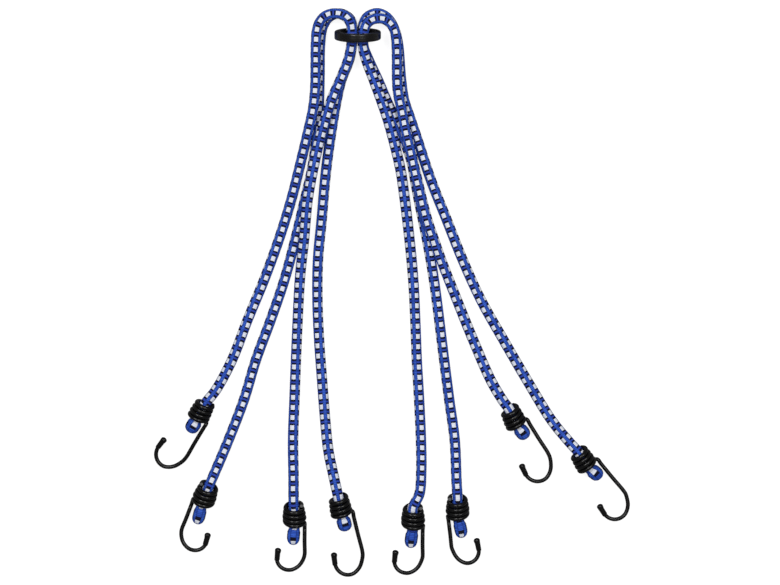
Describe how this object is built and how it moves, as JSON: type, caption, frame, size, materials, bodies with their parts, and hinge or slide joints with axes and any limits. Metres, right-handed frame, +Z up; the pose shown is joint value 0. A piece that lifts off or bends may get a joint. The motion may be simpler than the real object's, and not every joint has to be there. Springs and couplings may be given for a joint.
{
  "type": "spider bungee strap",
  "caption": "Spider bungee strap laid flat: braided elastic cords folded through a plastic ring, with a coated wire hook on each end.",
  "frame": {"origin": "on the surface that the strap lies on, under the middle of the box round its hooks and ring", "axes": "+Y from the hooks towards the ring, as up in the picture; +Z up, away from the surface; +X to the right"},
  "size_m": [0.3725, 0.4447, 0.0364],
  "materials": {
    "braided_sheath": "royal blue braided sheath with rows of white and black flecks",
    "coated_wire": "glossy black coating over steel wire",
    "ring_plastic": "black moulded plastic"
  },
  "bodies": {
    "root": {"cord_1": "braided_sheath", "cord_2": "braided_sheath", "cord_3": "braided_sheath", "cord_4": "braided_sheath", "hook_1": "coated_wire", "hook_2": "coated_wire", "hook_3": "coated_wire", "hook_4": "coated_wire", "hook_5": "coated_wire", "hook_6": "coated_wire", "hook_7": "coated_wire", "hook_8": "coated_wire", "ring": "ring_plastic"}
  },
  "joints": []
}
